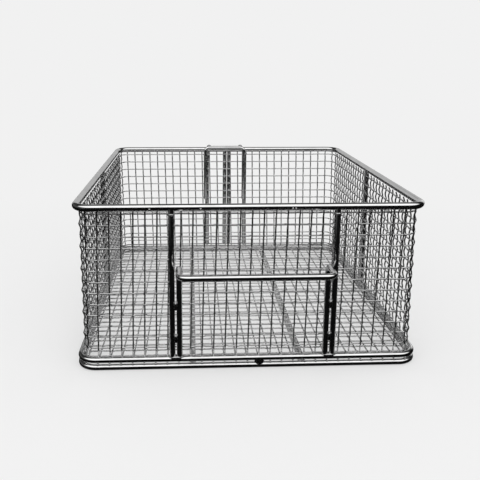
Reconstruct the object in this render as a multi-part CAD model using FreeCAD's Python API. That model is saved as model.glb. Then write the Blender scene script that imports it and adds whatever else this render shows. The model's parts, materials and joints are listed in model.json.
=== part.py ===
import FreeCAD, Part
import os
from math import cos, degrees, pi, radians, sin, sqrt, tan

# Wire mesh fryer basket with a stirrup-shaped hanger bar at the front.
# +Z is up, +Y is towards the back, the front with the hanger bar faces -Y.
# The origin is under the middle of the basket, on the surface it stands on.

# Driving dimensions, in millimetres and degrees
outer_width = 382.0
outer_depth = 414.0
basket_height = 187.5
outer_corner_radius = 22.0
rim_rod = 8.0
frame_rod = 6.35
mesh_wire = 1.6
mesh_pitch = 12.7
mesh_lean = 1.2
hoop_bend_steps = 2
ring_bend_step = 30.0
bar_bend_step = 45.0
seat_clearance = 0.05
layer_clearance = 0.1
saddle_end = 2.2

# Base rings
ring_gap = 2.0

# Walls
first_hoop_below_rim = 7.8
seam_offset = 5.0
least_seam_gap = 6.0

# Stays and seam rods
front_stay_spacing = 177.2
front_stay_centre = 3.6
side_stay_centre = 18.0
rear_stay_spacing = 64.8
rear_stay_centre = -3.6
seam_rod_centre = -1.9
seam_rod_spacing = 7.2
seam_rod_foot_gap = 0.5

# Hanger bar
hanger_leg_gap = 1.5
hanger_height = 118.7
hanger_reach = 36.0
hanger_bend_radius = 9.0

# Rear hook
hook_centre = -6.1
hook_spacing = 65.3
hook_leg_length = 85.5
hook_rise = 3.7
hook_bend_radius = 6.5
hook_set_back = 16.0

# Bottom
runner_centre = -1.8
runner_spacing = 121.5
long_wire_shift = -2.0
cross_wire_shift = 2.1
wire_end_inset = 1.0

# Weld beads
bead_diameter = 4.0
bead_stand_off = 2.6
hanger_bead_length = 10.0
hanger_bead_heights = (36.0, 74.0)
bead_overhang = 3.0
top_bead_drop = 4.7
hook_bead_diameter = 6.0
hook_bead_length = 5.0
hook_bead_rise = 1.9
hook_bead_set_in = 5.5
ring_weld_offset = 11.0
ring_weld_top_width = 10.0
ring_weld_foot_width = 5.6
ring_weld_depth = 4.0

# Sizes that follow from those above
half_width = outer_width / 2
half_depth = outer_depth / 2
rim_inset = rim_rod / 2
rim_height = basket_height - rim_rod / 2
ring_inset = frame_rod / 2
lower_ring_height = frame_rod / 2
upper_ring_height = lower_ring_height + frame_rod + ring_gap
ring_saddle_height = upper_ring_height + saddle_end
upright_inset = frame_rod + layer_clearance + mesh_wire / 2
hoop_inset = upright_inset + mesh_wire + layer_clearance
hook_inset = hoop_inset + mesh_wire / 2 + frame_rod / 2
long_wire_height = frame_rod + seat_clearance + mesh_wire / 2
cross_wire_height = long_wire_height + mesh_wire + seat_clearance
floor_mesh_top = cross_wire_height + mesh_wire / 2
first_hoop_height = rim_height - first_hoop_below_rim
hoop_count = int((first_hoop_height - floor_mesh_top - mesh_wire / 2) / mesh_pitch) + 1

up = FreeCAD.Vector(0, 0, 1)


def point(x, y, z):
    return FreeCAD.Vector(x, y, z)


def round_bar(start, end, diameter):
    """A straight round bar between the centres of its two ends."""
    run = end - start
    return Part.makeCylinder(diameter / 2, run.Length, start, run)


def six_sided_section(centre, run, facing, diameter):
    """A six-sided section with a round wire's area and one flat towards facing."""
    corner_reach = diameter / 2 * sqrt(2 * pi / (3 * sqrt(3)))
    side_direction = run.cross(facing).normalize()
    corners = []
    for number in range(6):
        angle = pi / 6 + number * pi / 3
        offset = facing * (corner_reach * cos(angle)) + side_direction * (corner_reach * sin(angle))
        corners.append(centre + offset)
    return Part.makePolygon(corners + corners[:1])


def six_sided_bar(start, end, facing, diameter=mesh_wire):
    """A straight six-sided bar between the centres of its two ends."""
    run = end - start
    return Part.Face(six_sided_section(start, run, facing, diameter)).extrude(run)


def bend_points(before, corner, after, bend_radius, bend_step):
    """Mitre points of a rounded corner, so that each short length touches the true bend."""
    back = (before - corner).normalize()
    ahead = (after - corner).normalize()
    half_angle = back.getAngle(ahead) / 2
    centre = corner + (back + ahead).normalize() * (bend_radius / sin(half_angle))
    bend_start = corner + back * (bend_radius / tan(half_angle))
    turn = 180 - 2 * degrees(half_angle)
    mitres = max(round(turn / bend_step), 1)
    step = turn / mitres
    axis = back.cross(ahead) * -1
    reach = (bend_start - centre) * (1 / cos(radians(step / 2)))
    places = []
    for number in range(mitres):
        places.append(centre + FreeCAD.Rotation(axis, (number + 0.5) * step).multVec(reach))
    return places


def bent_bar(corners, bend_radius, bend_step, diameter):
    """A round bar along straight runs, with each corner bent to the same radius."""
    points = [corners[0]]
    for before, corner, after in zip(corners, corners[1:], corners[2:]):
        points += bend_points(before, corner, after, bend_radius, bend_step)
    points.append(corners[-1])
    section = Part.Wire(Part.makeCircle(diameter / 2, corners[0], corners[1] - corners[0]))
    mitred = 1
    return Part.makePolygon(points).makePipeShell([section], True, False, mitred)


def rod_loop(inset, height, diameter):
    """A closed loop of round rod whose centreline lies this far inside the outer edge."""
    x = half_width - inset
    y = half_depth - inset
    radius = outer_corner_radius - inset
    corners = [point(0, -y, height), point(x, -y, height), point(x, y, height), point(0, y, height)]
    right_half = bent_bar(corners, radius, ring_bend_step, diameter)
    left_half = right_half.mirror(point(0, 0, 0), point(1, 0, 0))
    return right_half.fuse(left_half).removeSplitter()


def wall_place(distance, inset):
    """Place and clockwise direction at a distance along the wall.

    The distance starts at the middle of the back and runs clockwise as seen from above.
    It is measured on the uprights' own centreline, and the inset moves the place across it.
    """
    radius = outer_corner_radius - upright_inset
    half_back = half_width - upright_inset - radius
    half_side = half_depth - upright_inset - radius
    bend_length = radius * pi / 2
    along = distance - half_back
    for quarter in range(4):
        run = 2 * half_side if quarter % 2 == 0 else 2 * half_back
        if along < 0:
            break
        if along < bend_length + run:
            break
        along -= bend_length + run
    else:
        quarter = 0
        along = along - half_back
    sx, sy = ((1, 1), (1, -1), (-1, -1), (-1, 1))[quarter]
    corner = point(sx * half_back, sy * half_side, 0)
    start_angle = pi / 2 - quarter * pi / 2
    turned = min(max(along, 0) / bend_length, 1) * pi / 2
    angle = start_angle - turned
    outward = point(cos(angle), sin(angle), 0)
    direction = point(sin(angle), -cos(angle), 0)
    straight = along if along < 0 else max(along - bend_length, 0)
    reach = radius + upright_inset - inset
    return corner + outward * reach + direction * straight, direction


def wall_length():
    radius = outer_corner_radius - upright_inset
    straight = 2 * (half_width - upright_inset - radius) + 2 * (half_depth - upright_inset - radius)
    return 2 * straight + 2 * pi * radius


def uprights():
    """The wall mesh's upright wires, which lean a little along the wall.

    They start beside the seam in the middle of the back, and the last gap is the odd one.
    """
    across_rim = upright_inset - rim_inset - mesh_wire / 2
    top = rim_height - sqrt((rim_rod / 2) ** 2 - across_rim ** 2) - seat_clearance
    foot = floor_mesh_top + seat_clearance
    half_length = (top - foot) / 2
    wires = []
    for number in range(int((wall_length() - least_seam_gap) / mesh_pitch) + 1):
        place, direction = wall_place(seam_offset + number * mesh_pitch, upright_inset)
        outward = up.cross(direction)
        lean = direction * (half_length * sin(radians(mesh_lean)))
        centre = place + up * (top + foot) / 2
        rise = up * half_length
        wires.append(six_sided_bar(centre - rise + lean, centre + rise - lean, outward))
    return wires


def hoops():
    """The wall mesh's level wires, each as four straight runs and four bends."""
    x = half_width - hoop_inset
    y = half_depth - hoop_inset
    radius = outer_corner_radius - hoop_inset
    quarters = ((1, 1), (-1, 1), (-1, -1), (1, -1))
    pieces = []
    for number in range(hoop_count):
        height = first_hoop_height - number * mesh_pitch
        for side in (-1, 1):
            across = [point(end * (x - radius), side * y, height) for end in (-1, 1)]
            pieces.append(six_sided_bar(across[0], across[1], point(0, 1, 0)))
            along = [point(side * x, end * (y - radius), height) for end in (-1, 1)]
            pieces.append(six_sided_bar(along[0], along[1], point(1, 0, 0)))
        for quarter, (sx, sy) in enumerate(quarters):
            centre = point(sx * (x - radius), sy * (y - radius), height)
            sections = []
            for step in range(hoop_bend_steps + 1):
                angle = (quarter + step / hoop_bend_steps) * pi / 2
                outward = point(cos(angle), sin(angle), 0)
                section_centre = centre + outward * radius
                sections.append(six_sided_section(section_centre, up.cross(outward), outward, mesh_wire))
            pieces.append(Part.makeLoft(sections, True, True))
    return pieces


def wire_row(half_run, half_row, shift, end_inset):
    """Offsets and half lengths of the parallel wires that fill the rounded floor outline."""
    first_count = int((half_row - hoop_inset + shift) / mesh_pitch)
    last_count = int((half_row - hoop_inset - shift) / mesh_pitch)
    corner_reach = outer_corner_radius - end_inset
    wires = []
    for number in range(-first_count, last_count + 1):
        offset = shift + number * mesh_pitch
        into_bend = max(abs(offset) - (half_row - outer_corner_radius), 0)
        shortening = corner_reach - sqrt(corner_reach ** 2 - into_bend ** 2)
        wires.append((offset, half_run - end_inset - shortening))
    return wires


def floor_wires():
    """The floor mesh: wires from front to back, with the cross wires laid on them."""
    wires = []
    for x, reach in wire_row(half_depth, half_width, long_wire_shift, wire_end_inset):
        wires.append(six_sided_bar(point(x, -reach, long_wire_height), point(x, reach, long_wire_height), up))
    for y, reach in wire_row(half_width, half_depth, cross_wire_shift, frame_rod):
        wires.append(six_sided_bar(point(-reach, y, cross_wire_height), point(reach, y, cross_wire_height), up))
    return wires


def stay(x, y, foot_height=None):
    """An upright rod up to the rim, which stands on the upper ring unless a foot height is given."""
    foot = ring_saddle_height if foot_height is None else foot_height
    rod = round_bar(point(x, y, foot), point(x, y, rim_height - saddle_end), frame_rod)
    return rod.cut(top_rim).cut(base_upper_ring)


def bead(centre, direction, length, outward, neighbours, diameter=bead_diameter):
    """A short bar of weld metal, cut back by the rods that it joins."""
    half = direction * (length / 2)
    metal = six_sided_bar(centre - half, centre + half, outward, diameter)
    for neighbour in neighbours:
        metal = metal.cut(neighbour)
    return metal


def ring_weld():
    """The weld that bridges the two base rings at the front."""
    y = -half_depth - ring_weld_depth / 4
    corners = [point(ring_weld_offset - ring_weld_top_width / 2, y, upper_ring_height),
               point(ring_weld_offset + ring_weld_top_width / 2, y, upper_ring_height),
               point(ring_weld_offset + ring_weld_foot_width / 2, y, lower_ring_height),
               point(ring_weld_offset - ring_weld_foot_width / 2, y, lower_ring_height)]
    outline = Part.makePolygon(corners + corners[:1])
    block = Part.Face(outline).extrude(point(0, ring_weld_depth, 0))
    return block.cut(base_upper_ring).cut(base_lower_ring)


def group(shapes):
    """Every solid of the shapes given, as one compound."""
    return Part.makeCompound([solid for shape in shapes for solid in shape.Solids])


# Rings
top_rim = rod_loop(rim_inset, rim_height, rim_rod)
base_upper_ring = rod_loop(ring_inset, upper_ring_height, frame_rod)
base_lower_ring = rod_loop(ring_inset, lower_ring_height, frame_rod)

# Stays and seam rods
front_y = -(half_depth - ring_inset)
rear_y = half_depth - ring_inset
side_x = half_width - ring_inset
seam_rod_foot = upper_ring_height + ring_inset + seam_rod_foot_gap
front_stay_xs = [front_stay_centre + side * front_stay_spacing / 2 for side in (-1, 1)]
rear_stay_xs = [rear_stay_centre + side * rear_stay_spacing / 2 for side in (-1, 1)]
seam_rod_xs = [seam_rod_centre + side * seam_rod_spacing / 2 for side in (-1, 1)]
rods = {
    "front_stay_left": stay(front_stay_xs[0], front_y),
    "front_stay_right": stay(front_stay_xs[1], front_y),
    "side_stay_left": stay(-side_x, side_stay_centre),
    "side_stay_right": stay(side_x, side_stay_centre),
    "rear_stay_left": stay(rear_stay_xs[0], rear_y),
    "rear_stay_right": stay(rear_stay_xs[1], rear_y),
    "seam_rod_left": stay(seam_rod_xs[0], rear_y, seam_rod_foot),
    "seam_rod_right": stay(seam_rod_xs[1], rear_y, seam_rod_foot),
}

# Hanger bar
leg_offset = front_stay_spacing / 2 - frame_rod - hanger_leg_gap
leg_xs = [front_stay_centre + side * leg_offset for side in (-1, 1)]
bar_y = front_y - hanger_reach
hanger_bar = bent_bar([point(leg_xs[0], front_y, ring_saddle_height),
                       point(leg_xs[0], front_y, hanger_height),
                       point(leg_xs[0], bar_y, hanger_height),
                       point(leg_xs[1], bar_y, hanger_height),
                       point(leg_xs[1], front_y, hanger_height),
                       point(leg_xs[1], front_y, ring_saddle_height)],
                      hanger_bend_radius, bar_bend_step, frame_rod).cut(base_upper_ring)

# Rear hook
hook_y = half_depth - hook_inset
hook_top = rim_height + hook_rise
rod_reach = rim_rod / 2 + ring_inset + seat_clearance
hook_bar_y = half_depth - rim_inset - sqrt(rod_reach ** 2 - hook_rise ** 2)
hook_xs = [hook_centre + side * hook_spacing / 2 for side in (-1, 1)]
hook_foot = rim_height - hook_leg_length
hook_step = hook_top - hook_set_back
rear_hook = bent_bar([point(hook_xs[0], hook_y, hook_foot),
                      point(hook_xs[0], hook_y, hook_step),
                      point(hook_xs[0], hook_bar_y, hook_top),
                      point(hook_xs[1], hook_bar_y, hook_top),
                      point(hook_xs[1], hook_y, hook_step),
                      point(hook_xs[1], hook_y, hook_foot)],
                     hook_bend_radius, bar_bend_step, frame_rod)

# Runners under the floor mesh
runners = {}
for name, side in (("base_runner_left", -1), ("base_runner_right", 1)):
    x = runner_centre + side * runner_spacing / 2
    ends = [point(x, end * (rear_y - saddle_end), lower_ring_height) for end in (-1, 1)]
    runners[name] = round_bar(ends[0], ends[1], frame_rod).cut(base_lower_ring)

# Welds between the hanger bar's legs and the front stays
right = point(1, 0, 0)
front = point(0, -1, 0)
hanger_welds = []
for stay_name, stay_x, leg_x in zip(("front_stay_left", "front_stay_right"), front_stay_xs, leg_xs):
    for height in hanger_bead_heights:
        centre = point((stay_x + leg_x) / 2, front_y, height) + front * bead_stand_off
        hanger_welds.append(bead(centre, up, hanger_bead_length, front, [rods[stay_name], hanger_bar]))

# Welds across the front of the front stays, at the foot and at the top
foot_neighbours = list(rods.values()) + [hanger_bar, base_upper_ring]
top_neighbours = list(rods.values()) + [top_rim]
foot_welds = []
top_welds = []
for stay_x, leg_x in zip(front_stay_xs, leg_xs):
    foot_centre = point((stay_x + leg_x) / 2, front_y - bead_stand_off, upper_ring_height + bead_stand_off)
    foot_length = abs(stay_x - leg_x) + 2 * bead_overhang
    foot_welds.append(bead(foot_centre, right, foot_length, front, foot_neighbours))
    top_centre = point(stay_x, front_y - bead_stand_off, rim_height - top_bead_drop)
    top_welds.append(bead(top_centre, right, 2 * bead_overhang, front, top_neighbours))

# Welds between the rear hook and the rim
hook_welds = []
hook_weld_y = (hook_bar_y + half_depth - rim_inset) / 2
hook_weld_reach = hook_spacing / 2 - hook_bead_set_in
for side in (-1, 1):
    centre = point(hook_centre + side * hook_weld_reach, hook_weld_y, hook_top + hook_bead_rise)
    hook_welds.append(bead(centre, right, hook_bead_length, up, [top_rim, rear_hook], hook_bead_diameter))

parts = {
    "top_rim": top_rim,
    "base_upper_ring": base_upper_ring,
    "base_lower_ring": base_lower_ring,
    "wall_mesh": group(uprights() + hoops()),
    "floor_mesh": group(floor_wires()),
    "hanger_bar": hanger_bar,
    "rear_hook": rear_hook,
    "hanger_welds": group(hanger_welds),
    "stay_foot_welds": group(foot_welds),
    "stay_top_welds": group(top_welds),
    "hook_welds": group(hook_welds),
    "ring_weld": ring_weld(),
}
parts.update(rods)
parts.update(runners)

os.makedirs("parts", exist_ok=True)
for name, shape in parts.items():
    shape.exportStep("parts/" + name + ".step")
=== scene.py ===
"""The looks of a wire mesh fryer basket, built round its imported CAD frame."""
import json
from math import cos, pi, radians, sin, sqrt

import bmesh
import bpy
from mathutils import Euler, Matrix, Vector


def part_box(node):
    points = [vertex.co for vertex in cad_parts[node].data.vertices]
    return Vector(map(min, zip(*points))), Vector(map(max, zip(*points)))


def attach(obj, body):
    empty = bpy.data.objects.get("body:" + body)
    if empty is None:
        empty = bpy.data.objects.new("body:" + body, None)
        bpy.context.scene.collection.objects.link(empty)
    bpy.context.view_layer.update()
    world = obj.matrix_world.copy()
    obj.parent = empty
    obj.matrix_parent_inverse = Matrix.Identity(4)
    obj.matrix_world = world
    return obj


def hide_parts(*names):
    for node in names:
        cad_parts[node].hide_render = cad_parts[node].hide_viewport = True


bl_info = {
    "name": "Fryer Basket",
    "version": (1, 0, 0),
    "blender": (4, 5, 0),
    "location": "View3D > Sidebar > Basket",
    "description": "Models the rods, woven wire and welds of a fryer basket",
    "category": "Object",
}

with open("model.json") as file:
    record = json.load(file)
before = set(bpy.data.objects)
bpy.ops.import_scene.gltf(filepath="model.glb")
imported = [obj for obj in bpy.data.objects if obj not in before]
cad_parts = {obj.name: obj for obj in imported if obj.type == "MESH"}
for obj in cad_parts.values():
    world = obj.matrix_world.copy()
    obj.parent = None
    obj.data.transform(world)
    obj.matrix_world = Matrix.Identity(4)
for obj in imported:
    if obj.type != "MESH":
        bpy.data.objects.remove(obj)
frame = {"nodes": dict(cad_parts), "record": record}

# Sizes read from the frame, in metres

rim_low, rim_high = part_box("top_rim")
half_width = rim_high.x
half_depth = rim_high.y
rim_rod = rim_high.z - rim_low.z
rim_height = (rim_low.z + rim_high.z) / 2
lower_low, lower_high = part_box("base_lower_ring")
upper_low, upper_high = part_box("base_upper_ring")
frame_rod = lower_high.z - lower_low.z
lower_ring_height = (lower_low.z + lower_high.z) / 2
upper_ring_height = (upper_low.z + upper_high.z) / 2
ring_gap_height = (lower_high.z + upper_low.z) / 2
rod_radius = frame_rod / 2

# Sides of a round rod and of a mesh wire

rod_sides = 32
wire_sides = 6

# Specks of spatter that the photograph shows, by their distance to the right of the middle,
# and on the lower ring with their widths

rim_speck_places = (-0.1072, -0.0539, 0.0434, 0.0467)
ring_weld_speck_width = 0.004
ring_specks = ((0.0577, 0.003), (0.0626, 0.0025))


class BasketSizes(bpy.types.PropertyGroup):
    """Sizes of the woven wire, the bends and the welds."""

    wire: bpy.props.FloatProperty(
        name="Mesh wire", description="Diameter of the woven wires",
        default=0.0016, unit="LENGTH")
    pitch: bpy.props.FloatProperty(
        name="Mesh pitch", description="Distance between the woven wires",
        default=0.0127, unit="LENGTH")
    kink: bpy.props.FloatProperty(
        name="Kink", description="Half the length of the kink with which a wire passes over another",
        default=0.0028, unit="LENGTH")
    upright_swing: bpy.props.FloatProperty(
        name="Upright swing", description="How far an upright wire swings aside at a crossing",
        default=0.0005, unit="LENGTH")
    bow: bpy.props.FloatProperty(
        name="Bow", description="How far every upright wire bows outward between two level wires",
        default=0.0006, unit="LENGTH")
    layer_clearance: bpy.props.FloatProperty(
        name="Layer clearance", description="Space between the wall mesh and the stays",
        default=0.0001, unit="LENGTH")
    lean: bpy.props.FloatProperty(
        name="Lean", description="How far the upright wires lean along the wall",
        default=radians(1.2), subtype="ANGLE", unit="ROTATION")
    corner_radius: bpy.props.FloatProperty(
        name="Corner radius", description="Outer radius of the basket's corners",
        default=0.022, unit="LENGTH")
    hoop_drop: bpy.props.FloatProperty(
        name="First level wire", description="Distance of the highest level wire under the rim's centre",
        default=0.0078, unit="LENGTH")
    hoop_count: bpy.props.IntProperty(
        name="Level wires", description="Number of level wires in the wall mesh", default=14)
    seam_offset: bpy.props.FloatProperty(
        name="Seam offset", description="Distance of the first upright wire from the middle of the back",
        default=0.005, unit="LENGTH")
    seam_gap: bpy.props.FloatProperty(
        name="Seam gap", description="Smallest distance between the first and the last upright wire",
        default=0.006, unit="LENGTH")
    wire_end: bpy.props.FloatProperty(
        name="Wire end", description="Distance of the floor wires' ends from the basket's outer edge",
        default=0.0006, unit="LENGTH")
    long_wire_shift: bpy.props.FloatProperty(
        name="Long wire shift", description="Sideways place of the middle floor wire",
        default=-0.002, unit="LENGTH")
    cross_wire_shift: bpy.props.FloatProperty(
        name="Cross wire shift", description="Place of the middle cross wire from front to back",
        default=0.0021, unit="LENGTH")
    hanger_bend: bpy.props.FloatProperty(
        name="Hanger bend", description="Bend radius of the hanger bar", default=0.009, unit="LENGTH")
    hook_bend: bpy.props.FloatProperty(
        name="Hook bend", description="Bend radius of the rear hook", default=0.0065, unit="LENGTH")
    hook_set_back: bpy.props.FloatProperty(
        name="Hook set back", description="Height over which the hook leans towards the rim",
        default=0.016, unit="LENGTH")
    weld: bpy.props.FloatProperty(
        name="Weld", description="Height of a weld bead on a stay", default=0.0042, unit="LENGTH")
    hanger_bead_length: bpy.props.FloatProperty(
        name="Hanger bead", description="Length of a weld bead between the hanger bar and a stay",
        default=0.010, unit="LENGTH")
    hook_bead_width: bpy.props.FloatProperty(
        name="Hook bead width", description="Width of a weld bead between the hook and the rim",
        default=0.007, unit="LENGTH")
    hook_bead_height: bpy.props.FloatProperty(
        name="Hook bead height", description="Height of a weld bead between the hook and the rim",
        default=0.006, unit="LENGTH")
    hook_bead_overhang: bpy.props.FloatProperty(
        name="Hook bead overhang", description="How far a bead stands out past the solids' own",
        default=0.0005, unit="LENGTH")


class BasketColours(bpy.types.PropertyGroup):
    """Colours of the metal and of the studio."""

    rod: bpy.props.FloatVectorProperty(
        name="Rods", description="Colour of the plated rods",
        default=(0.86, 0.86, 0.86), size=3, subtype="COLOR")
    mesh: bpy.props.FloatVectorProperty(
        name="Mesh", description="Colour of the plated mesh wires",
        default=(0.86, 0.86, 0.86), size=3, subtype="COLOR")
    weld: bpy.props.FloatVectorProperty(
        name="Welds", description="Colour of the welds",
        default=(0.5, 0.5, 0.5), size=3, subtype="COLOR")
    floor: bpy.props.FloatVectorProperty(
        name="Floor", description="Colour of the floor",
        default=(0.86, 0.86, 0.86), size=3, subtype="COLOR")
    backdrop: bpy.props.FloatVectorProperty(
        name="Backdrop", description="Colour of the background",
        default=(0.88, 0.88, 0.88), size=3, subtype="COLOR")
    room: bpy.props.FloatVectorProperty(
        name="Room", description="Colour of the dim room that the metal sees on the camera's side",
        default=(0.004, 0.004, 0.004), size=3, subtype="COLOR")
    side_wall: bpy.props.FloatVectorProperty(
        name="Side wall", description="Colour of the room's left wall as the metal sees it",
        default=(0.07, 0.07, 0.07), size=3, subtype="COLOR")
    far_wall: bpy.props.FloatVectorProperty(
        name="Far wall", description="Colour of the backdrop as the metal sees it",
        default=(0.5, 0.5, 0.5), size=3, subtype="COLOR")
    ceiling: bpy.props.FloatVectorProperty(
        name="Ceiling", description="Colour of the room's ceiling as the metal sees it",
        default=(0.03, 0.03, 0.03), size=3, subtype="COLOR")
    softbox: bpy.props.FloatVectorProperty(
        name="Softbox", description="Colour of the wide light in front and above as the metal sees it",
        default=(1.3, 1.3, 1.3), size=3, subtype="COLOR")
    fill: bpy.props.FloatVectorProperty(
        name="Fill", description="Colour of the even light from all around",
        default=(0.84, 0.84, 0.84), size=3, subtype="COLOR")


# Shapes

def swept_rod(path, diameter, sides, closed=False):
    """A round rod along a path of points, grown ring by ring."""
    count = len(path)
    directions = []
    for number in range(count):
        if closed:
            before, after = path[number - 1], path[(number + 1) % count]
        else:
            before, after = path[max(number - 1, 0)], path[min(number + 1, count - 1)]
        directions.append((after - before).normalized())
    rod = bmesh.new()
    turn = Vector((0, 0, 1)).rotation_difference(directions[0])
    place = Matrix.Translation(path[0]) @ turn.to_matrix().to_4x4()
    bmesh.ops.create_circle(rod, cap_ends=not closed, segments=sides, radius=diameter / 2, matrix=place)
    ring = rod.edges[:]
    first_ring = ring
    for number in range(1, count):
        grown = bmesh.ops.extrude_edge_only(rod, edges=ring)["geom"]
        verts = {part for part in grown if isinstance(part, bmesh.types.BMVert)}
        ring = [part for part in grown if isinstance(part, bmesh.types.BMEdge)
                and part.verts[0] in verts and part.verts[1] in verts]
        bend = directions[number - 1].rotation_difference(directions[number])
        to_centre = Matrix.Translation(-path[number - 1])
        move = Matrix.Translation(path[number]) @ bend.to_matrix().to_4x4() @ to_centre
        bmesh.ops.transform(rod, matrix=move, verts=list(verts))
    if closed:
        bmesh.ops.bridge_loops(rod, edges=first_ring + ring)
    else:
        bmesh.ops.contextual_create(rod, geom=ring)
    return rod


def swept_wire(path):
    """A mesh wire along a path, six-sided with a round wire's area."""
    same_area = sqrt(2 * pi / (3 * sqrt(3)))
    return swept_rod(path, bpy.context.scene.basket_sizes.wire * same_area, wire_sides)


def rounded_path(corners, radius, step=radians(7.5)):
    """Points along straight runs whose corners are bent to one radius."""
    path = [corners[0]]
    for before, corner, after in zip(corners, corners[1:], corners[2:]):
        back = (before - corner).normalized()
        ahead = (after - corner).normalized()
        half_angle = back.angle(ahead) / 2
        centre = corner + (back + ahead).normalized() * (radius / sin(half_angle))
        start = corner + back * (radius * cos(half_angle) / sin(half_angle))
        turn = pi - 2 * half_angle
        steps = max(round(turn / step), 1)
        axis = ahead.cross(back)
        for number in range(steps + 1):
            rotation = Matrix.Rotation(turn * number / steps, 3, axis)
            path.append(centre + rotation @ (start - centre))
    return path + [corners[-1]]


def loop_path(inset, height):
    """The centreline of a closed rod loop, this far inside the basket's outer edge."""
    x, y = half_width - inset, half_depth - inset
    corners = [Vector((side_x * x, side_y * y, height)) for side_x, side_y in
               ((0, -1), (1, -1), (1, 1), (-1, 1), (-1, -1), (0, -1))]
    radius = bpy.context.scene.basket_sizes.corner_radius - inset
    return rounded_path(corners, radius)[:-1]


def merged(shapes):
    """One bmesh that holds all the shapes given."""
    whole = bmesh.new()
    for shape in shapes:
        carrier = bpy.data.meshes.new("carrier")
        shape.to_mesh(carrier)
        shape.free()
        whole.from_mesh(carrier)
        bpy.data.meshes.remove(carrier)
    return whole


def stamped(shape, places):
    """One bmesh with a copy of the shape at each place."""
    carrier = bpy.data.meshes.new("carrier")
    shape.to_mesh(carrier)
    shape.free()
    whole = bmesh.new()
    for place in places:
        copy = carrier.copy()
        copy.transform(place)
        whole.from_mesh(copy)
        bpy.data.meshes.remove(copy)
    bpy.data.meshes.remove(carrier)
    return whole


def round_ends(rod, radius):
    """Rounds the rims of a rod's two flat ends."""
    caps = [face for face in rod.faces if len(face.verts) == rod_sides]
    edges = list({edge for face in caps for edge in face.edges})
    bmesh.ops.bevel(rod, geom=edges, offset=radius, segments=3, profile=0.5, affect="EDGES", material=-1)
    return rod


def add_piece(name, shape, finish, nodes):
    """Turns a finished bmesh into a piece that stands for its CAD nodes."""
    bmesh.ops.recalc_face_normals(shape, faces=shape.faces)
    mesh = bpy.data.meshes.new(name)
    shape.to_mesh(mesh)
    shape.free()
    mesh.shade_smooth()
    mesh.set_sharp_from_angle(angle=radians(70))
    mesh.materials.append(finish)
    piece = bpy.data.objects.new(name, mesh)
    bpy.context.scene.collection.objects.link(piece)
    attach(piece, "root")
    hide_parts(*nodes)
    return piece


# Finishes

# Numbers of a Mix node's two colour inputs and its colour output, which share their names with others
MIX_UNDER, MIX_OVER, MIX_RESULT = 6, 7, 2


def node_adder(owner):
    """A helper that adds nodes to an emptied material or world, with their values and links.

    A socket is given by its name, or by its number where several sockets share one name.
    """
    owner.use_nodes = True
    tree = owner.node_tree
    tree.nodes.clear()

    def node(kind, links=(), values=(), **settings):
        made = tree.nodes.new(kind)
        for key, value in settings.items():
            setattr(made, key, value)
        for socket, value in values:
            made.inputs[socket].default_value = value
        for socket, source in links:
            tree.links.new(source, made.inputs[socket])
        return made

    return node


def metal_finish(name, colour, roughness, patch_scale, grain_scale, bump, metallic=1.0):
    """Plated metal whose shade and gloss drift a little along the surface."""
    finish = bpy.data.materials.new(name)
    node = node_adder(finish)
    place = node("ShaderNodeTexCoord").outputs["Object"]
    patches = node("ShaderNodeTexNoise", [("Vector", place)],
                   [("Scale", patch_scale), ("Detail", 3.0), ("Roughness", 0.6)])
    specks = node("ShaderNodeTexNoise", [("Vector", place)],
                  [("Scale", grain_scale), ("Detail", 2.0), ("Roughness", 0.5)])
    shade = node("ShaderNodeMapRange", [("Value", patches.outputs["Fac"])],
                 [("From Min", 0.3), ("From Max", 0.7), ("To Min", 0.82), ("To Max", 1.0)])
    tint = node("ShaderNodeVectorMath", [("Scale", shade.outputs["Result"])], [("Vector", colour)],
                operation="SCALE")
    rough = node("ShaderNodeMapRange", [("Value", specks.outputs["Fac"])],
                 [("From Min", 0.3), ("From Max", 0.7), ("To Min", roughness[0]), ("To Max", roughness[1])])
    uneven = node("ShaderNodeBump", [("Height", specks.outputs["Fac"])],
                  [("Strength", bump), ("Distance", 0.0002)])
    shader = node("ShaderNodeBsdfPrincipled",
                  [("Base Color", tint.outputs["Vector"]), ("Roughness", rough.outputs["Result"]),
                   ("Normal", uneven.outputs["Normal"])], [("Metallic", metallic)])
    node("ShaderNodeOutputMaterial", [("Surface", shader.outputs["BSDF"])])
    return finish


def finishes():
    """The metal finishes by name, made once."""
    colours = bpy.context.scene.basket_colours
    recipes = {
        "rod_steel": dict(colour=colours.rod, roughness=(0.06, 0.13), patch_scale=40.0,
                          grain_scale=900.0, bump=0.1),
        "mesh_steel": dict(colour=colours.mesh, roughness=(0.05, 0.12), patch_scale=60.0,
                           grain_scale=1400.0, bump=0.08),
        "rubbed_rod": dict(colour=colours.rod, roughness=(0.12, 0.22), patch_scale=40.0,
                           grain_scale=900.0, bump=0.1),
        "weld_metal": dict(colour=colours.weld, roughness=(0.12, 0.3), patch_scale=300.0,
                           grain_scale=1800.0, bump=0.35),
        # Pale matte metal: real weld spatter on the rim and the lower ring, and a painted highlight on the
        # floor wires' cut ends
        "spatter_and_painted_tip_glint": dict(colour=colours.rod, roughness=(0.5, 0.7), patch_scale=300.0,
                          grain_scale=1800.0, bump=0.2, metallic=0.2),
    }
    made = {}
    for name, recipe in recipes.items():
        made[name] = bpy.data.materials.get(name + "_finish") or metal_finish(name + "_finish", **recipe)
    return made


# The wall's path, followed clockwise as seen from above from the middle of the back

def mesh_inset():
    """Distance of the wall mesh's middle surface from the basket's outer edge."""
    sizes = bpy.context.scene.basket_sizes
    return frame_rod + sizes.layer_clearance + sizes.bow + sizes.wire / 2


def wall_sizes():
    """Half lengths of the straight runs, and the bend radius, of the upright wires' own line."""
    sizes = bpy.context.scene.basket_sizes
    inset = frame_rod + sizes.layer_clearance + sizes.wire / 2
    radius = sizes.corner_radius - inset
    return half_width - inset - radius, half_depth - inset - radius, radius


def wall_length():
    half_back, half_side, radius = wall_sizes()
    return 4 * half_back + 4 * half_side + 2 * pi * radius


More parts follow.
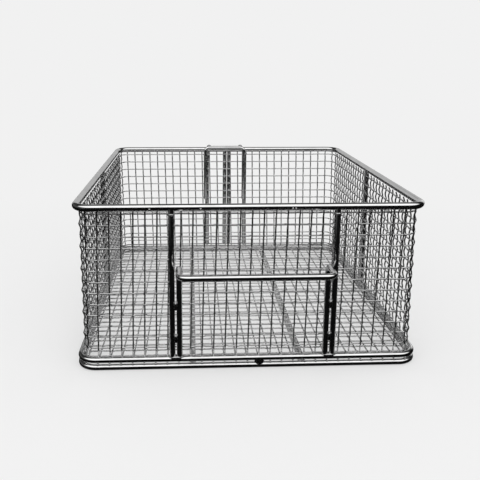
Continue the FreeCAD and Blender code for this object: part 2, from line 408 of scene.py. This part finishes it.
def wall_place(distance, inset):
    """Place and direction at a distance along the wall, this far inside the outer edge."""
    half_back, half_side, radius = wall_sizes()
    bend_length = radius * pi / 2
    along = distance - half_back
    for quarter in range(4):
        run = 2 * half_side if quarter % 2 == 0 else 2 * half_back
        if along < bend_length + run:
            break
        along -= bend_length + run
    else:
        quarter = 0
        along -= half_back
    side_x, side_y = ((1, 1), (1, -1), (-1, -1), (-1, 1))[quarter]
    turned = min(max(along, 0) / bend_length, 1) * pi / 2
    angle = pi / 2 - quarter * pi / 2 - turned
    outward = Vector((cos(angle), sin(angle), 0))
    direction = Vector((sin(angle), -cos(angle), 0))
    straight = along if along < 0 else max(along - bend_length, 0)
    reach = bpy.context.scene.basket_sizes.corner_radius - inset
    corner = Vector((side_x * half_back, side_y * half_side, 0))
    return corner + outward * reach + direction * straight, direction


def crimped_places(start, end, crossing):
    """Places from start to end at each crossing, along its kink and halfway to the next."""
    sizes = bpy.context.scene.basket_sizes
    first = int((start - crossing) / sizes.pitch) - 1
    kink_shares = (-1.6, -1, -0.5, 0, 0.5, 1, 1.6, sizes.pitch / 2 / sizes.kink)
    places = [start]
    for number in range(first, first + int((end - start) / sizes.pitch) + 4):
        for share in kink_shares:
            place = crossing + number * sizes.pitch + share * sizes.kink
            if start + sizes.kink / 3 < place < end - sizes.kink / 3:
                places.append(place)
    return places + [end]


def crimp_wave(place, crossing):
    """Sideways place of a crimped wire, 1 or -1 where it crosses another and 0 between them."""
    sizes = bpy.context.scene.basket_sizes
    number = round((place - crossing) / sizes.pitch)
    away = abs(place - crossing - number * sizes.pitch)
    if away > sizes.kink:
        return 0
    return (-1 if number % 2 else 1) * (1 + cos(pi * away / sizes.kink)) / 2


def with_tips(places, length):
    """The places, with one more point near each end, this far in."""
    inner = [place for place in places[1:-1] if abs(place) < places[-1] - 1.3 * length]
    return [places[0], places[0] + length / 2, places[0] + length, *inner,
            places[-1] - length, places[-1] - length / 2, places[-1]]


# Operators

class BASKET_OT_rim_and_rings(bpy.types.Operator):
    """Model the rim and the two base rings as smooth closed rods"""

    bl_idname = "basket.rim_and_rings"
    bl_label = "Rim and Rings"

    def execute(self, context):
        made = finishes()
        for name, node, height, diameter, finish in (
                ("rim_loop", "top_rim", rim_height, rim_rod, "rod_steel"),
                ("upper_ring_loop", "base_upper_ring", upper_ring_height, frame_rod, "rod_steel"),
                ("lower_ring_loop", "base_lower_ring", lower_ring_height, frame_rod, "rubbed_rod")):
            shape = swept_rod(loop_path(diameter / 2, height), diameter, rod_sides, closed=True)
            add_piece(name, shape, made[finish], [node])
        return {"FINISHED"}


class BASKET_OT_straight_rods(bpy.types.Operator):
    """Model the stays, the seam rods and the runners as smooth straight rods"""

    bl_idname = "basket.straight_rods"
    bl_label = "Stays, Seam Rods and Runners"

    def execute(self, context):
        finish = finishes()["rod_steel"]
        uprights = ["front_stay_left", "front_stay_right", "side_stay_left", "side_stay_right",
                    "rear_stay_left", "rear_stay_right", "seam_rod_left", "seam_rod_right"]
        for node in uprights:
            low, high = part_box(node)
            middle = (low + high) / 2
            foot = low.z if node.startswith("seam") else upper_ring_height
            path = [Vector((middle.x, middle.y, z)) for z in (foot, rim_height)]
            shape = round_ends(swept_rod(path, frame_rod, rod_sides), rod_radius / 4)
            add_piece(node + "_rod", shape, finish, [node])
        for node in ("base_runner_left", "base_runner_right"):
            low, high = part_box(node)
            middle = (low + high) / 2
            reach = half_depth - rod_radius
            path = [Vector((middle.x, end * reach, middle.z)) for end in (-1, 1)]
            add_piece(node + "_rod", swept_rod(path, frame_rod, rod_sides), finish, [node])
        return {"FINISHED"}


class BASKET_OT_hanger_bar(bpy.types.Operator):
    """Model the hanger bar as one smooth bent rod"""

    bl_idname = "basket.hanger_bar"
    bl_label = "Hanger Bar"

    def execute(self, context):
        low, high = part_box("hanger_bar")
        left, right = low.x + rod_radius, high.x - rod_radius
        front, back = low.y + rod_radius, rod_radius - half_depth
        top = high.z - rod_radius
        corners = [Vector(place) for place in
                   ((left, back, upper_ring_height), (left, back, top), (left, front, top),
                    (right, front, top), (right, back, top), (right, back, upper_ring_height))]
        path = rounded_path(corners, context.scene.basket_sizes.hanger_bend)
        add_piece("hanger_rod", swept_rod(path, frame_rod, rod_sides), finishes()["rod_steel"],
                  ["hanger_bar"])
        return {"FINISHED"}


class BASKET_OT_rear_hook(bpy.types.Operator):
    """Model the rear hook as one smooth bent rod with rounded feet"""

    bl_idname = "basket.rear_hook"
    bl_label = "Rear Hook"

    def execute(self, context):
        sizes = context.scene.basket_sizes
        low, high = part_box("rear_hook")
        left, right = low.x + rod_radius, high.x - rod_radius
        leg_y, bar_y = low.y + rod_radius, high.y - rod_radius
        top = high.z - rod_radius
        bend = top - sizes.hook_set_back
        corners = [Vector(place) for place in
                   ((left, leg_y, low.z), (left, leg_y, bend), (left, bar_y, top),
                    (right, bar_y, top), (right, leg_y, bend), (right, leg_y, low.z))]
        shape = swept_rod(rounded_path(corners, sizes.hook_bend), frame_rod, rod_sides)
        add_piece("rear_hook_rod", round_ends(shape, rod_radius / 2), finishes()["rod_steel"],
                  ["rear_hook"])
        return {"FINISHED"}


class BASKET_OT_wall_mesh(bpy.types.Operator):
    """Weave the wall mesh from crimped upright and level wires"""

    bl_idname = "basket.wall_mesh"
    bl_label = "Wall Mesh"

    def execute(self, context):
        sizes = context.scene.basket_sizes
        finish = finishes()["mesh_steel"]
        inset = mesh_inset()
        first_height = rim_height - sizes.hoop_drop
        low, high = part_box("wall_mesh")
        count = int((wall_length() - sizes.seam_gap) / sizes.pitch) + 1

        heights = crimped_places(low.z, high.z, first_height)
        middle = (low.z + high.z) / 2
        places = ([], [])
        for number in range(count):
            place, direction = wall_place(sizes.seam_offset + number * sizes.pitch, inset)
            outward = Vector((0, 0, 1)).cross(direction)
            turn = Matrix((outward, direction, Vector((0, 0, 1)))).transposed().to_4x4()
            lean = Matrix.Rotation(sizes.lean, 4, "X")
            places[number % 2].append(Matrix.Translation(place + Vector((0, 0, middle))) @ turn @ lean)
        wires = []
        for parity, side in ((0, -1), (1, 1)):
            path = []
            for z in heights:
                swing = side * sizes.upright_swing * crimp_wave(z, first_height)
                bow = sizes.bow * cos(2 * pi * (z - first_height) / sizes.pitch)
                path.append(Vector((swing + bow, 0, z - middle)))
            wires.append(stamped(swept_wire(path), places[parity]))
        add_piece("wall_upright_wires", merged(wires), finish, ["wall_mesh"])

        end_gap = sizes.wire / 4
        distances = crimped_places(end_gap, wall_length() - end_gap, sizes.seam_offset)
        hoops = []
        for parity, side in ((0, 1), (1, -1)):
            path = []
            for distance in distances:
                wave = side * (sizes.wire - sizes.upright_swing) * crimp_wave(distance, sizes.seam_offset)
                path.append(wall_place(distance, inset + sizes.bow - wave)[0])
            levels = [Matrix.Translation((0, 0, first_height - number * sizes.pitch))
                      for number in range(parity, sizes.hoop_count, 2)]
            hoops.append(stamped(swept_wire(path), levels))
        add_piece("wall_level_wires", merged(hoops), finish, ["wall_mesh"])
        return {"FINISHED"}


class BASKET_OT_floor_mesh(bpy.types.Operator):
    """Weave the floor mesh, whose wire ends are pinched between the two base rings"""

    bl_idname = "basket.floor_mesh"
    bl_label = "Floor Mesh"

    def wire_row(self, half_run, half_row, shift):
        """Offsets and half lengths of the parallel wires that fill the rounded outline."""
        sizes = bpy.context.scene.basket_sizes
        edge = half_row - mesh_inset() - sizes.wire / 2
        corner_reach = sizes.corner_radius - sizes.wire_end
        row = []
        for number in range(-int((edge + shift) / sizes.pitch), int((edge - shift) / sizes.pitch) + 1):
            offset = shift + number * sizes.pitch
            into_bend = max(abs(offset) - (half_row - sizes.corner_radius), 0)
            shortening = corner_reach - sqrt(corner_reach ** 2 - into_bend ** 2)
            row.append((number, offset, half_run - sizes.wire_end - shortening))
        return row

    def wire_line(self, reach, phase, side):
        """Places along one wire with their heights: woven inside, pinched and bent over at the rings."""
        sizes = bpy.context.scene.basket_sizes
        low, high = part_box("floor_mesh")
        middle = (low.z + high.z) / 2
        settled = frame_rod + sizes.pitch / 2
        line = []
        for place in with_tips(crimped_places(-reach, reach, phase), rod_radius):
            from_end = reach - abs(place)
            free = min(max((from_end - frame_rod) / (settled - frame_rod), 0), 1)
            wave = side * sizes.wire / 2 * crimp_wave(place, phase)
            pinched = ring_gap_height - self.tip_drop(from_end)
            line.append((place, pinched + free * (middle + wave - pinched)))
        return line

    def tip_drop(self, from_end):
        """How far a wire has bent down over the lower ring at this distance from its end."""
        sizes = bpy.context.scene.basket_sizes
        bend_over = rod_radius + sizes.wire / 2
        past_ring = max(rod_radius - sizes.wire_end - from_end, 0)
        return bend_over - sqrt(bend_over ** 2 - past_ring ** 2)

    def execute(self, context):
        sizes = context.scene.basket_sizes
        finish = finishes()["mesh_steel"]
        long_shift, cross_shift = sizes.long_wire_shift, sizes.cross_wire_shift
        wires = []
        for number, x, reach in self.wire_row(half_depth, half_width, long_shift):
            line = self.wire_line(reach, cross_shift, -1 if number % 2 else 1)
            wires.append(swept_wire([Vector((x, y, height)) for y, height in line]))
        add_piece("floor_long_wires", merged(wires), finish, ["floor_mesh"])
        wires = []
        for number, y, reach in self.wire_row(half_width, half_depth, cross_shift):
            line = self.wire_line(reach, long_shift, 1 if number % 2 else -1)
            wires.append(swept_wire([Vector((x, y, height)) for x, height in line]))
        add_piece("floor_cross_wires", merged(wires), finish, ["floor_mesh"])
        self.cut_ends()
        return {"FINISHED"}

    def cut_ends(self):
        """Lay a small pale bead on each floor wire's cut end, where it peeps out between the rings; the
        bead's pale matte finish is a painted highlight on the wire tips.
        """
        sizes = bpy.context.scene.basket_sizes
        height = ring_gap_height - self.tip_drop(sizes.wire / 2)
        places = []
        for half_run, half_row, shift, along_y in (
                (half_depth, half_width, sizes.long_wire_shift, True),
                (half_width, half_depth, sizes.cross_wire_shift, False)):
            for number, offset, reach in self.wire_row(half_run, half_row, shift):
                for end in (-1, 1):
                    run = end * (reach - sizes.wire / 2)
                    x, y = (offset, run) if along_y else (run, offset)
                    places.append(Matrix.Translation((x, y, height)))
        shape = bmesh.new()
        # The pale matte finish paints the highlight that the wire tips would catch
        bmesh.ops.create_icosphere(shape, subdivisions=1, radius=sizes.wire * 0.58)
        add_piece("floor_wire_ends", stamped(shape, places), finishes()["spatter_and_painted_tip_glint"],
                  ["floor_mesh"])


class BASKET_OT_welds(bpy.types.Operator):
    """Lay the weld beads and the specks of spatter where the rods meet"""

    bl_idname = "basket.welds"
    bl_label = "Welds"

    def bead(self, place, size):
        """One rounded bead of weld metal, of this size in x, y and z."""
        shape = bmesh.new()
        scale = Matrix.Diagonal((size[0] / 2, size[1] / 2, size[2] / 2, 1))
        bmesh.ops.create_icosphere(shape, subdivisions=3, radius=1, matrix=Matrix.Translation(place) @ scale)
        return shape

    def add_beads(self, name, beads, node, finish="weld_metal"):
        add_piece(name, merged(beads), finishes()[finish], [node])

    def execute(self, context):
        sizes = context.scene.basket_sizes
        stays = {}
        for node in ("front_stay_left", "front_stay_right", "side_stay_left", "side_stay_right",
                     "rear_stay_left", "rear_stay_right"):
            low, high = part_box(node)
            stays[node] = (low + high) / 2
        low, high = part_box("hanger_bar")
        legs = {"front_stay_left": low.x + rod_radius, "front_stay_right": high.x - rod_radius}
        self.hanger_beads(sizes, stays, legs)
        self.stay_beads(sizes, stays, legs)
        self.hook_beads(sizes)
        self.ring_bead_and_specks()
        return {"FINISHED"}

    def hanger_beads(self, sizes, stays, legs):
        """Two beads between each leg of the hanger bar and its stay."""
        low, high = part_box("hanger_welds")
        beads = []
        for node, leg in legs.items():
            stay = stays[node]
            for height in (low.z + sizes.hanger_bead_length / 2, high.z - sizes.hanger_bead_length / 2):
                place = Vector(((stay.x + leg) / 2, stay.y - rod_radius * 0.55, height))
                beads.append(self.bead(place, (frame_rod * 0.7, rod_radius * 1.3, sizes.hanger_bead_length)))
        self.add_beads("hanger_weld_beads", beads, "hanger_welds")

    def stay_beads(self, sizes, stays, legs):
        """A bead at the foot and one at the top of each stay, which stand proud of the front ones."""
        feet = []
        tops = []
        for node, stay in stays.items():
            across = frame_rod + sizes.weld
            centre_x = stay.x
            if node in legs:
                across += abs(stay.x - legs[node])
                centre_x = (stay.x + legs[node]) / 2
            flush_depth = rod_radius * 1.7
            flush_shift = rod_radius * 0.13
            if node.startswith("side"):
                size = (flush_depth, across, sizes.weld)
                shift = Vector((flush_shift if stay.x > 0 else -flush_shift, 0, 0))
            elif node.startswith("rear"):
                size = (across, flush_depth, sizes.weld)
                shift = Vector((0, flush_shift, 0))
            else:
                size = (across, frame_rod * 1.25, sizes.weld)
                shift = Vector((0, 0, 0))
            foot = Vector((centre_x, stay.y, upper_ring_height + rod_radius * 0.85))
            feet.append(self.bead(foot + shift, size))
            top = Vector((stay.x, stay.y, rim_height - rim_rod / 2 - sizes.weld * 0.8))
            widest = frame_rod * 1.3
            tops.append(self.bead(top + shift, (min(size[0], widest), min(size[1], widest), sizes.weld)))
        self.add_beads("stay_foot_weld_beads", feet, "stay_foot_welds")
        self.add_beads("stay_top_weld_beads", tops, "stay_top_welds")

    def hook_beads(self, sizes):
        """A bead between each end of the hook's bar and the rim, and one at the foot of each leg."""
        low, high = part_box("hook_welds")
        middle = (low + high) / 2
        hook_low, hook_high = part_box("rear_hook")
        size = (sizes.hook_bead_width, high.y - low.y, sizes.hook_bead_height)
        reach = (high.x - low.x - size[0]) / 2 + sizes.hook_bead_overhang
        beads = []
        for side in (-1, 1):
            beads.append(self.bead(Vector((middle.x + side * reach, middle.y, high.z - size[2] / 2)), size))
            leg = hook_high.x - rod_radius if side > 0 else hook_low.x + rod_radius
            foot = Vector((leg, hook_low.y + rod_radius, hook_low.z + rod_radius))
            beads.append(self.bead(foot, (frame_rod * 1.15, frame_rod, frame_rod * 0.9)))
        self.add_beads("hook_weld_beads", beads, "hook_welds")

    def ring_bead_and_specks(self):
        """The weld across the two base rings, and the specks on the fronts of the rim and the lower ring."""
        low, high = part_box("ring_weld")
        middle = (low + high) / 2
        depth = frame_rod * 0.8
        place = Vector((middle.x, depth * 0.48 - half_depth, middle.z))
        shape = self.bead(place, ((high.x - low.x) * 1.1, depth, high.z - low.z + 0.004))
        self.add_beads("ring_weld_bead", [shape], "ring_weld")

        specks = []
        for x in rim_speck_places:
            place = Vector((x, -half_depth, rim_height - rim_rod * 0.06))
            specks.append(self.bead(place, (0.0018, 0.0008, 0.0008)))
        self.add_beads("rim_specks", specks, "top_rim", "spatter_and_painted_tip_glint")

        specks = []
        for x, width in ((middle.x, ring_weld_speck_width), *ring_specks):
            place = Vector((x, 0.001 - half_depth, rod_radius * 0.75))
            specks.append(self.bead(place, (width, 0.001, 0.0012)))
        self.add_beads("lower_ring_specks", specks, "base_lower_ring", "spatter_and_painted_tip_glint")


class BASKET_OT_node_finishes(bpy.types.Operator):
    """Give every CAD node the finish of its slot"""

    bl_idname = "basket.node_finishes"
    bl_label = "Node Finishes"

    def execute(self, context):
        made = finishes()
        for part in frame["record"]["subparts"]:
            node = frame["nodes"][part["node"]]
            node.data.materials.clear()
            node.data.materials.append(made[part["material_slot"]])
        return {"FINISHED"}


class BASKET_OT_stage(bpy.types.Operator):
    """Set up the floor, the studio light and the camera"""

    bl_idname = "basket.stage"
    bl_label = "Floor, Light and Camera"

    def floor_finish(self, colours):
        """Pale paper that the camera sees melt into the backdrop, and the metal sees dim further out."""
        finish = bpy.data.materials.new("floor_finish")
        node = node_adder(finish)
        place = node("ShaderNodeTexCoord").outputs["Object"]
        cloud = node("ShaderNodeTexNoise", [("Vector", place)], [("Scale", 3.0), ("Detail", 2.0)])
        shade = node("ShaderNodeMapRange", [("Value", cloud.outputs["Fac"])], [("To Min", 0.98)])
        tint = node("ShaderNodeVectorMath", [("Scale", shade.outputs["Result"])],
                    [("Vector", colours.floor)], operation="SCALE")
        paper = node("ShaderNodeBsdfPrincipled", [("Base Color", tint.outputs["Vector"])],
                     [("Roughness", 0.7), ("Specular IOR Level", 0.0)])
        light_path = node("ShaderNodeLightPath")

        distance = node("ShaderNodeVectorMath", [("Vector", place)], operation="LENGTH")
        away = node("ShaderNodeMapRange", [("Value", distance.outputs["Value"])],
                    [("From Min", 0.3), ("From Max", 0.8), ("To Min", 0.55)],
                    interpolation_type="SMOOTHSTEP")
        seen = node("ShaderNodeMapRange", [("Value", light_path.outputs["Is Camera Ray"]),
                                           ("To Max", away.outputs["Result"])])
        glow = node("ShaderNodeEmission", values=[("Color", (*colours.backdrop, 1))])
        lit = node("ShaderNodeMixShader", [("Fac", seen.outputs["Result"]), (1, paper.outputs["BSDF"]),
                                           (2, glow.outputs["Emission"])])

        across = node("ShaderNodeVectorMath", [("Vector", place)], operation="ABSOLUTE")
        split = node("ShaderNodeSeparateXYZ", [("Vector", across.outputs["Vector"])])
        inside = [node("ShaderNodeMapRange", [("Value", split.outputs[axis])],
                       [("From Min", reach), ("From Max", reach * 0.8)]).outputs["Result"]
                  for axis, reach in (("X", half_width), ("Y", half_depth))]
        under_basket = node("ShaderNodeMath", [(0, inside[0]), (1, inside[1])], operation="MULTIPLY")
        strength = node("ShaderNodeMapRange", [("Value", under_basket.outputs["Value"])],
                        [("To Min", colours.room[0]), ("To Max", 0.3)])
        mirrored = node("ShaderNodeEmission", [("Strength", strength.outputs["Result"])])
        whole = node("ShaderNodeMixShader", [("Fac", light_path.outputs["Is Glossy Ray"]),
                                             (1, lit.outputs["Shader"]), (2, mirrored.outputs["Emission"])])
        node("ShaderNodeOutputMaterial", [("Surface", whole.outputs["Shader"])])
        return finish

    def floor(self, colours):
        """A pale floor that takes the basket's shadow and reaches far behind it."""
        half_size = 2.5
        shape = bmesh.new()
        place = Matrix.Translation((0, 1.5, 0)) @ Matrix.Scale(half_size, 4)
        bmesh.ops.create_grid(shape, x_segments=1, y_segments=1, size=1, matrix=place)
        mesh = bpy.data.meshes.new("studio_floor")
        shape.to_mesh(mesh)
        shape.free()
        mesh.materials.append(self.floor_finish(colours))
        floor = bpy.data.objects.new("studio_floor", mesh)
        bpy.context.scene.collection.objects.link(floor)

    def lamp(self, name, place, target, size, power):
        """A soft rectangular lamp that faces the target."""
        data = bpy.data.lights.new(name, "AREA")
        data.shape = "RECTANGLE"
        data.size, data.size_y = size
        data.energy = power
        lamp = bpy.data.objects.new(name, data)
        lamp.visible_glossy = False
        bpy.context.scene.collection.objects.link(lamp)
        lamp.location = place
        lamp.rotation_euler = (Vector(target) - Vector(place)).to_track_quat("-Z", "Y").to_euler()

    def world(self, colours):
        """An even pale surround, in which metal sees a softbox in front, a backdrop and a dim room."""
        world = bpy.data.worlds.new("studio")
        bpy.context.scene.world = world
        node = node_adder(world)
        place = node("ShaderNodeTexCoord").outputs["Generated"]
        split = node("ShaderNodeSeparateXYZ", [("Vector", place)])

        def zone(axis, start, end):
            """How far a direction lies past this edge of a zone, from 0 to 1."""
            edge = node("ShaderNodeMapRange", [("Value", split.outputs[axis])],
                        [("From Min", start), ("From Max", end)])
            return edge.outputs["Result"]

        def both(one, other):
            """How far a direction lies in two zones at once."""
            return node("ShaderNodeMath", [(0, one), (1, other)], operation="MULTIPLY").outputs["Value"]

        def blended(share, under, over):
            """One colour over another by a share, where each colour is a value or a socket."""
            blend = node("ShaderNodeMix", [("Factor", share)], data_type="RGBA")
            for socket, colour in ((blend.inputs[MIX_UNDER], under), (blend.inputs[MIX_OVER], over)):
                if isinstance(colour, bpy.types.NodeSocket):
                    world.node_tree.links.new(colour, socket)
                else:
                    socket.default_value = (*colour, 1)
            return blend.outputs[MIX_RESULT]

        left = blended(zone("X", -0.45, -0.7), colours.room, colours.side_wall)
        right = blended(both(zone("X", 0.1, 0.2), zone("Y", 0.5, 0.75)), left, colours.backdrop)
        back = blended(both(zone("Y", 0.8, 0.9), zone("Z", -0.3, -0.2)), right, colours.far_wall)
        above = blended(zone("Z", 0.35, 0.5), back, colours.ceiling)
        front = both(zone("Z", 0.36, 0.5), zone("Y", 0.04, -0.12))
        mirrored = blended(front, above, colours.softbox)
        light_path = node("ShaderNodeLightPath")
        shown = blended(light_path.outputs["Is Camera Ray"], colours.fill, colours.backdrop)
        surround = blended(light_path.outputs["Is Glossy Ray"], shown, mirrored)
        background = node("ShaderNodeBackground", [("Color", surround)])
        node("ShaderNodeOutputWorld", [("Surface", background.outputs["Background"])])

    def camera(self):
        """The camera at the photograph's place, angle and framing."""
        data = bpy.data.cameras.new("photo_camera")
        data.lens = 44.67
        data.sensor_width = 36.0
        data.shift_x = 0.0436
        data.shift_y = -0.1241
        data.clip_start = 0.05
        camera = bpy.data.objects.new("photo_camera", data)
        bpy.context.scene.collection.objects.link(camera)
        yaw, pitch, roll = radians(-2.743), radians(-11.589), radians(0.254)
        turn = Euler((pi / 2 + pitch, 0, yaw)).to_matrix() @ Matrix.Rotation(roll, 3, "Z")
        camera.matrix_world = Matrix.Translation((-0.06366, -0.81058, 0.33705)) @ turn.to_4x4()
        bpy.context.scene.camera = camera

    def execute(self, context):
        colours = context.scene.basket_colours
        self.floor(colours)
        self.world(colours)
        self.lamp("softbox", (0.0, -0.5, 1.3), (0, 0, 0.1), (1.6, 1.2), 6)
        self.camera()
        context.scene.view_settings.view_transform = "Standard"
        return {"FINISHED"}


class BASKET_PT_panel(bpy.types.Panel):
    """The basket's steps in the 3D view's sidebar"""

    bl_label = "Fryer Basket"
    bl_idname = "BASKET_PT_panel"
    bl_space_type = "VIEW_3D"
    bl_region_type = "UI"
    bl_category = "Basket"

    def draw(self, context):
        for group in (context.scene.basket_sizes, context.scene.basket_colours):
            for name in group.__annotations__:
                self.layout.prop(group, name)
        for step in steps:
            self.layout.operator(step.bl_idname)


steps = (
    BASKET_OT_rim_and_rings,
    BASKET_OT_straight_rods,
    BASKET_OT_hanger_bar,
    BASKET_OT_rear_hook,
    BASKET_OT_wall_mesh,
    BASKET_OT_floor_mesh,
    BASKET_OT_welds,
    BASKET_OT_node_finishes,
    BASKET_OT_stage,
)
classes = (BasketSizes, BasketColours) + steps + (BASKET_PT_panel,)


def register():
    for cls in classes:
        bpy.utils.register_class(cls)
    bpy.types.Scene.basket_sizes = bpy.props.PointerProperty(type=BasketSizes)
    bpy.types.Scene.basket_colours = bpy.props.PointerProperty(type=BasketColours)


def unregister():
    del bpy.types.Scene.basket_colours
    del bpy.types.Scene.basket_sizes
    for cls in reversed(classes):
        bpy.utils.unregister_class(cls)


def main():
    register()
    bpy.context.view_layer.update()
    for step in steps:
        group, name = step.bl_idname.split(".")
        getattr(getattr(bpy.ops, group), name)()


if __name__ == "__main__":
    main()
